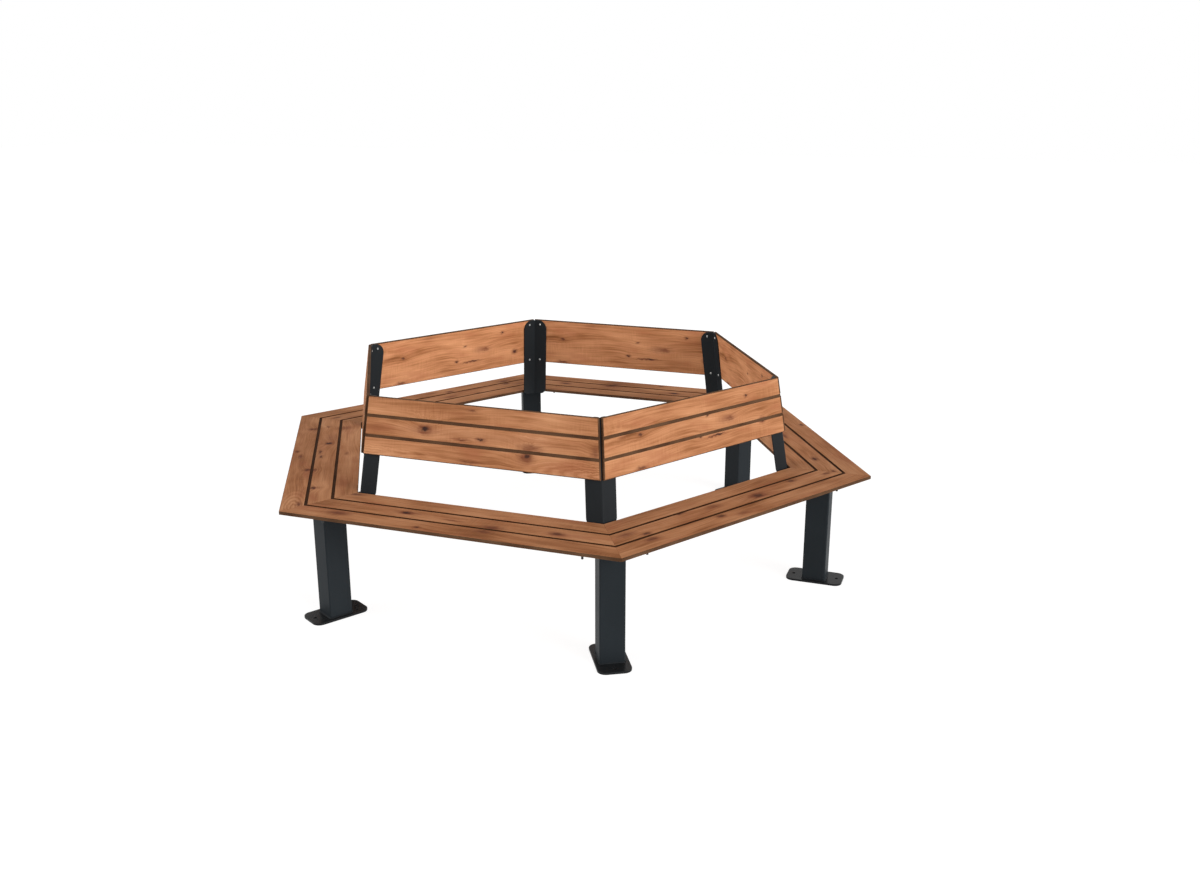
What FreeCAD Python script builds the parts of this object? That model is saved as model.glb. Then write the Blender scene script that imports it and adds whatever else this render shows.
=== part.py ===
"""Hexagonal tree bench: a ring of six seat panels and six backrest panels on six steel legs.

Lengths are in millimetres. +Z points up, the ground is at z = 0 and the Z axis is the
middle of the hexagon. Corner 1 lies on +X and the corners are numbered anticlockwise, seen
from above. Side 1 runs from corner 1 to corner 2, and so on round the ring.
"""
import FreeCAD, Part
import math
import os

Vector = FreeCAD.Vector
ORIGIN = Vector(0, 0, 0)
UP = Vector(0, 0, 1)
OUTWARD = Vector(1, 0, 0)
ACROSS = Vector(0, 1, 0)

# Ring
SIDES = 6
CORNER_STEP = 360.0 / SIDES
HALF_STEP = math.radians(CORNER_STEP / 2)

# Laminate board, used for the seat and for the backrest
BOARD_THICKNESS = 12.0
GROOVE_WIDTH = 12.0
GROOVE_DEPTH = 2.5
BOARD_EDGE_EASE = 1.0

# Seat, measured from the middle of the hexagon to the flat sides
SEAT_TOP = 450.0
SEAT_INNER_APOTHEM = 833.0
SEAT_DEPTH = 270.0
SEAT_EDGE_BOARD = 83.0
SEAT_MITRE_GAP = 0.6
SEAT_OUTER_APOTHEM = SEAT_INNER_APOTHEM + SEAT_DEPTH
SEAT_UNDERSIDE = SEAT_TOP - BOARD_THICKNESS

# Backrest, placed by the lower edge of its outer face. Its height runs up the slope.
BACK_ABOVE_SEAT = 146.0
BACK_BEHIND_SEAT = 19.5
BACK_LEAN = math.radians(8.5)
BACK_HEIGHT = 216.0
BACK_EDGE_BOARD = 66.0
BACK_END_GAP = 10.7
BACK_BOTTOM = SEAT_TOP + BACK_ABOVE_SEAT
BACK_BOTTOM_APOTHEM = SEAT_INNER_APOTHEM - BACK_BEHIND_SEAT

# Back supports, folded from sheet
SUPPORT_THICKNESS = 5.0
SUPPORT_WING = 63.0
SUPPORT_TOP_DROP = 1.6
SUPPORT_TOP_RADIUS = 42.0
SUPPORT_FOOT_RADIUS = 30.0
SUPPORT_BEND_INNER = 5.0
SUPPORT_BEND_OUTER = SUPPORT_BEND_INNER + SUPPORT_THICKNESS
RELIEF_RADIUS = 4.0
RELIEF_RISE = 1.5
SUPPORT_TOP = BACK_BOTTOM + BACK_HEIGHT * math.cos(BACK_LEAN) - SUPPORT_TOP_DROP

# Legs, centred on the corner lines of the ring and placed from the inner corners of the seat
LEG_FROM_SEAT_CORNER = 120.0
LEG_WIDTH = 90.0
LEG_WALL = 3.0
LEG_CORNER_RADIUS = 6.0
LEG_CENTRE_RADIUS = SEAT_INNER_APOTHEM / math.cos(HALF_STEP) + LEG_FROM_SEAT_CORNER

# Base plates
BASE_LENGTH = 220.0
BASE_WIDTH = 120.0
BASE_THICKNESS = 8.0
BASE_CORNER_RADIUS = 30.0
ANCHOR_SPACING = 170.0
ANCHOR_HOLE_RADIUS = 6.0

# Top plates, between the legs and the seat
TOP_PLATE_LENGTH = 190.0
TOP_PLATE_WIDTH = 246.0
TOP_PLATE_THICKNESS = 6.0
TOP_PLATE_CORNER_RADIUS = 10.0
TONGUE_WIDTH = 74.0
SUPPORT_BELOW_PLATE = 2.0
TOP_PLATE_UNDERSIDE = SEAT_UNDERSIDE - TOP_PLATE_THICKNESS
SUPPORT_BOTTOM = TOP_PLATE_UNDERSIDE - SUPPORT_BELOW_PLATE
LEG_LENGTH = TOP_PLATE_UNDERSIDE - BASE_THICKNESS

# Seat studs, M8, with their flange nuts. The grip is the length inside the board.
STUD_RADIUS = 4.0
STUD_LENGTH = 34.0
STUD_GRIP = 7.0
STUD_FROM_PLATE_EDGE = 15.0
STUD_HALF_LENGTHWISE = TOP_PLATE_LENGTH / 2 - STUD_FROM_PLATE_EDGE
STUD_HALF_CROSSWISE = TOP_PLATE_WIDTH / 2 - STUD_FROM_PLATE_EDGE
STUD_PLATE_HOLE_RADIUS = 4.5
NUT_ACROSS_FLATS = 13.0
NUT_HEIGHT = 8.0
NUT_FLANGE_RADIUS = 8.9
NUT_FLANGE_HEIGHT = 1.6

# Backrest screws, M6 with button heads. The grip is the length inside the board.
SCREW_RADIUS = 3.0
SCREW_GRIP = 7.0
SCREW_FROM_FOLD = 31.0
SCREW_FROM_BOTTOM_EDGE = 14.4
SCREW_FROM_TOP_EDGE = 21.6
SCREW_PLATE_HOLE_RADIUS = 3.3
HEAD_RADIUS = 5.25
HEAD_HEIGHT = 3.3
SOCKET_ACROSS_FLATS = 4.0
SOCKET_DEPTH = 1.6

# Clearance per side between a thread and its hole, and the depth of a blind hole past the thread's end
THREAD_CLEARANCE = 0.1
BLIND_HOLE_SPARE = 0.3
# Overrun of a cutting solid past the face that it opens
OVERRUN = 1.0
# Largest distance between two points that count as one
SAME_POINT = 1e-4


def corner_angle(number):
    """Angle of a corner line in degrees, for corners 1 to 6."""
    return (number - 1) * CORNER_STEP


def side_angle(number):
    """Angle of a side's outward normal in degrees, for sides 1 to 6."""
    return corner_angle(number) + CORNER_STEP / 2


def turned(shape, angle):
    """Copy of a shape turned about the Z axis by an angle in degrees."""
    copy = shape.copy()
    copy.rotate(ORIGIN, UP, angle)
    return copy


def prism(points, base_z, height):
    """Upright prism over a polygon of (x, y) points."""
    corners = [Vector(x, y, base_z) for x, y in points]
    face = Part.Face(Part.makePolygon(corners + corners[:1]))
    return face.extrude(Vector(0, 0, height))


def slab(x_low, x_high, half_width, z_low, z_high):
    """Box from x_low to x_high and z_low to z_high, centred across Y."""
    corner = Vector(x_low, -half_width, z_low)
    return Part.makeBox(x_high - x_low, 2 * half_width, z_high - z_low, corner)


def upright_edges(shape):
    """Edges that run straight up and down."""
    picked = []
    for edge in shape.Edges:
        low, high = edge.Vertexes[0].Point, edge.Vertexes[-1].Point
        if math.hypot(high.x - low.x, high.y - low.y) < SAME_POINT < abs(high.z - low.z):
            picked.append(edge)
    return picked


def edges_along_y(shape, keep):
    """Edges that run along Y and whose midpoint passes the test keep."""
    picked = []
    for edge in shape.Edges:
        first, last = edge.Vertexes[0].Point, edge.Vertexes[-1].Point
        run = last - first
        middle = (first + last) * 0.5
        if math.hypot(run.x, run.z) < SAME_POINT < abs(run.y) and keep(middle):
            picked.append(edge)
    return picked


def hexagon_prism(across_flats, base_z, height):
    """Upright hexagonal prism on the Z axis."""
    radius = across_flats / 2 / math.cos(HALF_STEP)
    points = []
    for number in range(1, SIDES + 1):
        angle = math.radians(corner_angle(number))
        points.append((radius * math.cos(angle), radius * math.sin(angle)))
    return prism(points, base_z, height)


def moved(shape, offset):
    """Copy of a shape moved by a vector."""
    copy = shape.copy()
    copy.translate(offset)
    return copy


def ring_places():
    """Stud places in the frame of a corner, as (radius along the corner line, offset across it)."""
    places = []
    for lengthwise in (-STUD_HALF_LENGTHWISE, STUD_HALF_LENGTHWISE):
        for crosswise in (-STUD_HALF_CROSSWISE, STUD_HALF_CROSSWISE):
            places.append((LEG_CENTRE_RADIUS + lengthwise, crosswise))
    return places


def stud_places_on_side():
    """The four stud places under one seat panel, in the frame of its side."""
    places = []
    for turn in (-1, 1):
        angle = turn * HALF_STEP
        for radius, crosswise in ring_places():
            if crosswise * turn < 0:
                x = radius * math.cos(angle) - crosswise * math.sin(angle)
                y = radius * math.sin(angle) + crosswise * math.cos(angle)
                places.append(Vector(x, y, 0))
    return places


# Seat

def mitre_half_length(apothem):
    """Half the length of a seat panel at a distance from the middle of the hexagon."""
    return apothem * math.tan(HALF_STEP) - SEAT_MITRE_GAP / 2 / math.cos(HALF_STEP)


def seat_panel():
    """Seat panel in the frame of its side, with its outward normal on +X."""
    inner, outer = SEAT_INNER_APOTHEM, SEAT_OUTER_APOTHEM
    inner_half, outer_half = mitre_half_length(inner), mitre_half_length(outer)
    outline = [(inner, -inner_half), (outer, -outer_half), (outer, outer_half), (inner, inner_half)]
    panel = prism(outline, SEAT_UNDERSIDE, BOARD_THICKNESS)
    top_edges = edges_along_y(panel, lambda middle: middle.z > SEAT_TOP - OVERRUN)
    panel = panel.makeFillet(BOARD_EDGE_EASE, top_edges)
    for start in (inner + SEAT_EDGE_BOARD, outer - SEAT_EDGE_BOARD - GROOVE_WIDTH):
        cutter = slab(start, start + GROOVE_WIDTH, outer, SEAT_TOP - GROOVE_DEPTH, SEAT_TOP + OVERRUN)
        panel = panel.cut(cutter)
    hole_radius = STUD_RADIUS + THREAD_CLEARANCE
    hole_depth = STUD_GRIP + BLIND_HOLE_SPARE
    for place in stud_places_on_side():
        foot = Vector(place.x, place.y, SEAT_UNDERSIDE - OVERRUN)
        panel = panel.cut(Part.makeCylinder(hole_radius, hole_depth + OVERRUN, foot, UP))
    return panel


# Backrest. A flat panel stands on the XY plane with its outer face at x = 0 and is then leaned.

def leaned(shape):
    """Lean a flat backrest piece inwards and set it at its place on the side."""
    copy = shape.copy()
    copy.rotate(ORIGIN, ACROSS, -math.degrees(BACK_LEAN))
    copy.translate(Vector(BACK_BOTTOM_APOTHEM, 0, BACK_BOTTOM))
    return copy


def fold_line_offset(height, depth):
    """Distance across the side from its middle to the corner line.

    height is measured up the slope of the backrest, depth inwards from its outer face.
    """
    apothem = BACK_BOTTOM_APOTHEM - height * math.sin(BACK_LEAN) - depth * math.cos(BACK_LEAN)
    return apothem * math.tan(HALF_STEP)


def screw_places_on_side():
    """The four screw places behind one backrest panel, as (offset across, height up the slope)."""
    places = []
    for height in (SCREW_FROM_BOTTOM_EDGE, BACK_HEIGHT - SCREW_FROM_TOP_EDGE):
        offset = fold_line_offset(height, BOARD_THICKNESS) - SCREW_FROM_FOLD
        places.append((-offset, height))
        places.append((offset, height))
    return places


def back_panel():
    """Backrest panel in the frame of its side, with its outer face on the +X side."""
    low = fold_line_offset(0, 0) - BACK_END_GAP
    high = fold_line_offset(BACK_HEIGHT, 0) - BACK_END_GAP
    lower = [Vector(0, -low, 0), Vector(0, low, 0)]
    upper = [Vector(0, high, BACK_HEIGHT), Vector(0, -high, BACK_HEIGHT)]
    face = Part.Face(Part.makePolygon(lower + upper + lower[:1]))
    panel = face.extrude(Vector(-BOARD_THICKNESS, 0, 0))
    panel = panel.makeFillet(BOARD_EDGE_EASE, edges_along_y(panel, lambda middle: True))
    for start in (BACK_EDGE_BOARD, BACK_HEIGHT - BACK_EDGE_BOARD - GROOVE_WIDTH):
        panel = panel.cut(slab(-GROOVE_DEPTH, OVERRUN, low, start, start + GROOVE_WIDTH))
    hole_radius = SCREW_RADIUS + THREAD_CLEARANCE
    hole_depth = SCREW_GRIP + BLIND_HOLE_SPARE
    for offset, height in screw_places_on_side():
        foot = Vector(-BOARD_THICKNESS - OVERRUN, offset, height)
        panel = panel.cut(Part.makeCylinder(hole_radius, hole_depth + OVERRUN, foot, OUTWARD))
    return leaned(panel)


# Back supports, in the frame of a corner with the corner line on +X

def fold_vector(rise):
    """Vector along the fold of a back support for a rise in height."""
    return Vector(-rise * math.tan(BACK_LEAN) / math.cos(HALF_STEP), 0, rise)


def fold_radius(z):
    """Distance from the Z axis to the outer side of the fold at a height, before it is rounded."""
    apothem = BACK_BOTTOM_APOTHEM - (z - BACK_BOTTOM) * math.tan(BACK_LEAN)
    return (apothem - BOARD_THICKNESS / math.cos(BACK_LEAN)) / math.cos(HALF_STEP)


def wing_direction(side):
    """Horizontal direction from the fold along one wing, for side -1 or 1."""
    angle = math.pi / 2 + HALF_STEP
    return Vector(math.cos(angle), side * math.sin(angle), 0)


def wing_inward(side):
    """Horizontal direction from a wing's outer face towards the tree."""
    return Vector(-math.cos(HALF_STEP), -side * math.sin(HALF_STEP), 0)


def folded_sheet(bottom, top):
    """Folded sheet between two heights, with its bend rounded inside and outside."""
    tip = Vector(fold_radius(bottom), 0, bottom)
    depth = SUPPORT_THICKNESS / math.cos(BACK_LEAN)
    outer_ends = {side: tip + wing_direction(side) * SUPPORT_WING for side in (-1, 1)}
    inner_ends = {side: outer_ends[side] + wing_inward(side) * depth for side in (-1, 1)}
    inner_tip = tip - Vector(depth / math.cos(HALF_STEP), 0, 0)
    corners = [tip, outer_ends[1], inner_ends[1], inner_tip, inner_ends[-1], outer_ends[-1]]
    section = Part.Face(Part.makePolygon(corners + corners[:1]))
    sheet = section.extrude(fold_vector(top - bottom))
    sheet = sheet.makeFillet(SUPPORT_BEND_OUTER, [fold_edge(sheet, tip)])
    return sheet.makeFillet(SUPPORT_BEND_INNER, [fold_edge(sheet, inner_tip)])


def fold_edge(sheet, foot):
    """The edge of a folded sheet that starts at a point and runs along the fold."""
    for edge in sheet.Edges:
        points = sorted((vertex.Point for vertex in edge.Vertexes), key=lambda point: point.z)
        if points[0].distanceToPoint(foot) < SAME_POINT and points[-1].z > foot.z + OVERRUN:
            return edge
    raise ValueError("no fold edge starts here")


def arc_in_corner(before, corner, after, radius):
    """Arc that rounds a corner between two straight runs."""
    to_before = (before - corner).normalize()
    to_after = (after - corner).normalize()
    half_angle = to_before.getAngle(to_after) / 2
    run = radius / math.tan(half_angle)
    bisector = (to_before + to_after).normalize()
    middle = corner + bisector * (radius / math.sin(half_angle) - radius)
    return Part.Arc(corner + to_before * run, middle, corner + to_after * run).toShape()


def wing_blank(side):
    """Solid through one wing with the outline that the wing is cut to."""
    along = wing_direction(side)
    outward = wing_inward(side) * -math.cos(BACK_LEAN) + UP * math.sin(BACK_LEAN)
    foot_in = Vector(fold_radius(SUPPORT_BOTTOM), 0, SUPPORT_BOTTOM) - along * SUPPORT_BEND_OUTER
    foot_out = foot_in + along * (SUPPORT_WING + SUPPORT_BEND_OUTER)
    rise = fold_vector(SUPPORT_TOP - SUPPORT_BOTTOM)
    top_in, top_out = foot_in + rise, foot_out + rise
    foot_arc = arc_in_corner(foot_in, foot_out, top_out, SUPPORT_FOOT_RADIUS)
    top_arc = arc_in_corner(foot_out, top_out, top_in, SUPPORT_TOP_RADIUS)
    stops = [foot_arc.Vertexes[0].Point, foot_arc.Vertexes[-1].Point,
             top_arc.Vertexes[0].Point, top_arc.Vertexes[-1].Point]
    edges = [Part.makeLine(foot_in, stops[0]), foot_arc, Part.makeLine(stops[1], stops[2]), top_arc,
             Part.makeLine(stops[3], top_in), Part.makeLine(top_in, foot_in)]
    face = Part.Face(Part.Wire(edges))
    face.translate(outward * OVERRUN)
    return face.extrude(outward * -(SUPPORT_THICKNESS + 2 * OVERRUN))


def back_support():
    """Back support: two wings with round tops and feet, a bend relief and four screw holes."""
    sheet = folded_sheet(SUPPORT_BOTTOM, SUPPORT_TOP)
    sheet = sheet.common(wing_blank(-1).fuse(wing_blank(1)))
    top_radius = fold_radius(SUPPORT_TOP)
    relief_start = Vector(top_radius - SUPPORT_WING, 0, SUPPORT_TOP + RELIEF_RISE)
    relief = Part.makeCylinder(RELIEF_RADIUS, SUPPORT_WING + OVERRUN, relief_start, OUTWARD)
    sheet = sheet.cut(relief)
    for hole in corner_screw_tools(SCREW_PLATE_HOLE_RADIUS, -OVERRUN, SUPPORT_THICKNESS + OVERRUN):
        sheet = sheet.cut(hole)
    return sheet.removeSplitter()


# Pieces behind the backrest panels. They are drawn on the inner face of a panel that stands flat
# and then take the panel's lean. Depths run inwards from that face.

def on_inner_face(shape, offset, height):
    """Set a shape drawn along +Z from the origin on the inner face, pointing at the tree."""
    copy = shape.copy()
    copy.rotate(ORIGIN, ACROSS, -90)
    copy.translate(Vector(-BOARD_THICKNESS, offset, height))
    return leaned(copy)


def corner_screw_tools(radius, start, end):
    """Rods on the four screw axes of corner 1, between two depths."""
    rod = Part.makeCylinder(radius, end - start, Vector(0, 0, start), UP)
    tools = []
    for turn in (-1, 1):
        for offset, height in screw_places_on_side():
            if offset * turn < 0:
                tools.append(turned(on_inner_face(rod, offset, height), turn * CORNER_STEP / 2))
    return tools


def ring_of_back_pieces(shape):
    """Copies of a small piece at every screw place of the whole ring."""
    copies = []
    for number in range(1, SIDES + 1):
        for offset, height in screw_places_on_side():
            copies.append(turned(on_inner_face(shape, offset, height), side_angle(number)))
    return Part.makeCompound(copies)


def button_screw():
    """Button-head screw on the Z axis: the face that it clamps is at z = 0, the head above the sheet."""
    shank_length = SUPPORT_THICKNESS + SCREW_GRIP
    shank = Part.makeCylinder(SCREW_RADIUS, shank_length, Vector(0, 0, -SCREW_GRIP), UP)
    dome_radius = (HEAD_RADIUS ** 2 + HEAD_HEIGHT ** 2) / (2 * HEAD_HEIGHT)
    dome_centre = Vector(0, 0, SUPPORT_THICKNESS + HEAD_HEIGHT - dome_radius)
    blank = Part.makeCylinder(HEAD_RADIUS, HEAD_HEIGHT, Vector(0, 0, SUPPORT_THICKNESS), UP)
    head = blank.common(Part.makeSphere(dome_radius, dome_centre))
    socket_floor = SUPPORT_THICKNESS + HEAD_HEIGHT - SOCKET_DEPTH
    socket = hexagon_prism(SOCKET_ACROSS_FLATS, socket_floor, SOCKET_DEPTH + OVERRUN)
    return shank.fuse(head).removeSplitter().cut(socket)


# Legs and plates, in the frame of a corner

def rounded_block(length, width, height, radius, base_z):
    """Upright block with round corners, centred on the leg."""
    corner = Vector(LEG_CENTRE_RADIUS - length / 2, -width / 2, base_z)
    block = Part.makeBox(length, width, height, corner)
    return block.makeFillet(radius, upright_edges(block))


def leg_tube():
    """Square tube between the base plate and the top plate."""
    outside = rounded_block(LEG_WIDTH, LEG_WIDTH, LEG_LENGTH, LEG_CORNER_RADIUS, BASE_THICKNESS)
    bore_size = LEG_WIDTH - 2 * LEG_WALL
    bore_radius = LEG_CORNER_RADIUS - LEG_WALL
    bore = rounded_block(bore_size, bore_size, LEG_LENGTH, bore_radius, BASE_THICKNESS)
    return outside.cut(bore)


def base_plate():
    """Base plate with large round corners and two anchor holes on its long axis."""
    plate = rounded_block(BASE_LENGTH, BASE_WIDTH, BASE_THICKNESS, BASE_CORNER_RADIUS, 0)
    for side in (-1, 1):
        foot = Vector(LEG_CENTRE_RADIUS + side * ANCHOR_SPACING / 2, 0, 0)
        plate = plate.cut(Part.makeCylinder(ANCHOR_HOLE_RADIUS, BASE_THICKNESS, foot, UP))
    return plate


def space_inside_supports():
    """Solid on the tree side of the outer faces of a back support, round the top plate's height."""
    low = TOP_PLATE_UNDERSIDE - OVERRUN
    tip = Vector(fold_radius(low), 0, low)
    ends = [tip + wing_direction(side) * 2 * SUPPORT_WING for side in (1, -1)]
    section = Part.Face(Part.makePolygon([tip, *ends, tip]))
    return section.extrude(fold_vector(TOP_PLATE_THICKNESS + 2 * OVERRUN))


def top_plate():
    """Top plate with a tongue that reaches the back support, and four stud holes."""
    plate = rounded_block(TOP_PLATE_LENGTH, TOP_PLATE_WIDTH, TOP_PLATE_THICKNESS,
                          TOP_PLATE_CORNER_RADIUS, TOP_PLATE_UNDERSIDE)
    tongue_start = fold_radius(SEAT_UNDERSIDE) - TONGUE_WIDTH / 2
    tongue = slab(tongue_start, LEG_CENTRE_RADIUS, TONGUE_WIDTH / 2, TOP_PLATE_UNDERSIDE, SEAT_UNDERSIDE)
    plate = plate.fuse(tongue).removeSplitter().cut(space_inside_supports())
    plate = plate.makeFillet(TOP_PLATE_CORNER_RADIUS, tongue_root_edges(plate))
    for radius, crosswise in ring_places():
        foot = Vector(radius, crosswise, TOP_PLATE_UNDERSIDE)
        plate = plate.cut(Part.makeCylinder(STUD_PLATE_HOLE_RADIUS, TOP_PLATE_THICKNESS, foot, UP))
    return plate


def tongue_root_edges(plate):
    """The two upright edges where the tongue leaves the plate."""
    root = LEG_CENTRE_RADIUS - TOP_PLATE_LENGTH / 2
    picked = []
    for edge in upright_edges(plate):
        point = edge.Vertexes[0].Point
        if math.hypot(point.x - root, abs(point.y) - TONGUE_WIDTH / 2) < SAME_POINT:
            picked.append(edge)
    return picked


# Seat fasteners, drawn on the Z axis at their real heights

def ring_of_seat_pieces(shape):
    """Copies of a small piece at every stud place of the whole ring."""
    copies = []
    for number in range(1, SIDES + 1):
        for radius, crosswise in ring_places():
            copies.append(turned(moved(shape, Vector(radius, crosswise, 0)), corner_angle(number)))
    return Part.makeCompound(copies)


def seat_stud():
    """Threaded stud from inside the seat board to below the nut."""
    foot = Vector(0, 0, SEAT_UNDERSIDE + STUD_GRIP - STUD_LENGTH)
    return Part.makeCylinder(STUD_RADIUS, STUD_LENGTH, foot, UP)


def seat_nut():
    """Hexagon flange nut against the underside of the top plate."""
    foot = Vector(0, 0, TOP_PLATE_UNDERSIDE - NUT_HEIGHT)
    flange_foot = Vector(0, 0, TOP_PLATE_UNDERSIDE - NUT_FLANGE_HEIGHT)
    hexagon = hexagon_prism(NUT_ACROSS_FLATS, foot.z, NUT_HEIGHT)
    flange = Part.makeCylinder(NUT_FLANGE_RADIUS, NUT_FLANGE_HEIGHT, flange_foot, UP)
    bore = Part.makeCylinder(STUD_RADIUS + THREAD_CLEARANCE, NUT_HEIGHT, foot, UP)
    return hexagon.fuse(flange).removeSplitter().cut(bore)


def save(name, shape):
    """Write one node and print its size."""
    if not shape.isValid():
        raise ValueError(name + " is not a valid shape")
    shape.exportStep("parts/" + name + ".step")
    print(name, "solids", len(shape.Solids), "volume", round(shape.Volume))


def save_ring(name, shape, angle_of):
    """Write six numbered copies of a piece round the ring."""
    for number in range(1, SIDES + 1):
        save(name + "_" + str(number), turned(shape, angle_of(number)))


def main():
    os.makedirs("parts", exist_ok=True)
    save_ring("seat_panel", seat_panel(), side_angle)
    save_ring("back_panel", back_panel(), side_angle)
    save_ring("back_support", back_support(), corner_angle)
    save_ring("leg_tube", leg_tube(), corner_angle)
    save_ring("base_plate", base_plate(), corner_angle)
    save_ring("leg_top_plate", top_plate(), corner_angle)
    save("back_screws", ring_of_back_pieces(button_screw()))
    save("seat_studs", ring_of_seat_pieces(seat_stud()))
    save("seat_nuts", ring_of_seat_pieces(seat_nut()))


main()
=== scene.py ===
"""Looks of a hexagonal tree bench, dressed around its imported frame.

Lengths are in metres and +Z points up. Corner 1 lies on +X, side 1 runs from corner 1 to
corner 2, and both are counted anticlockwise, seen from above.
"""

import logging
import math
from dataclasses import dataclass
from enum import Enum
from typing import Callable, Iterable, Optional, Sequence, Union

import bmesh
import bpy
from mathutils import Matrix, Vector
from mathutils.bvhtree import BVHTree

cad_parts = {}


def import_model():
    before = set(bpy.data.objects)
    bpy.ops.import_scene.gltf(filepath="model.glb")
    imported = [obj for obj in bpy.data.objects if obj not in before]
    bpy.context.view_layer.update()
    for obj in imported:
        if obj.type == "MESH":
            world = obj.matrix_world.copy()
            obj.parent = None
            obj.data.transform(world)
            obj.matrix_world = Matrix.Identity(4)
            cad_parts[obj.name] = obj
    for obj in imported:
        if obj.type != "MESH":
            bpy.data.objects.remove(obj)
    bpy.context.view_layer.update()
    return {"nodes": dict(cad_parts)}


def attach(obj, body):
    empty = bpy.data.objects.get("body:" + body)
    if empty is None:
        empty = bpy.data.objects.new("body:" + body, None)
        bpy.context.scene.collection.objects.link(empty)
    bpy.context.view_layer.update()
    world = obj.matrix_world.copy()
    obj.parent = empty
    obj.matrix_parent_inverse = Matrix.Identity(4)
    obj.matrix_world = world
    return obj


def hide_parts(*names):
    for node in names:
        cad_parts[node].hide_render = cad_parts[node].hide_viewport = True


LOG = logging.getLogger("tree_bench")
BODY = "root"
SIDES = 6
CORNER_STEP = 2 * math.pi / SIDES
HALF_STEP = CORNER_STEP / 2
QUARTER_TURN = math.pi / 2
SAME_POINT = 1e-6
SHEET_MAP = "sheet"
WHITE = (1.0, 1.0, 1.0)
NOISE_MIDDLE = 0.5
WEAR_RANGE = (0.3, 0.7)
MIX_FACTOR, MIX_FIRST, MIX_SECOND, MIX_RESULT = 0, 6, 7, 2

Range = tuple[float, float]
Colour = tuple[float, float, float]
Socket = bpy.types.NodeSocket
Feed = Union[float, Sequence[float], Socket]
Place = Callable[[float, float, float], Vector]
Path = list[tuple[Vector, Vector]]


@dataclass(frozen=True)
class Noise:
    """Cloudy noise: its features per metre along each axis, its finer layers and how strong they are."""

    features: tuple[float, float, float]
    layers: float = 2.0
    roughness: float = 0.5


@dataclass(frozen=True)
class Span:
    """How a value is mapped: the range it comes from, the one it goes to, and whether ends are eased."""

    source: Range
    target: Range
    smooth: bool = False


@dataclass(frozen=True)
class Relief:
    """Bumps of a finish: how much of them is used, and the height of a full step in metres."""

    strength: float
    step: float


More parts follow.
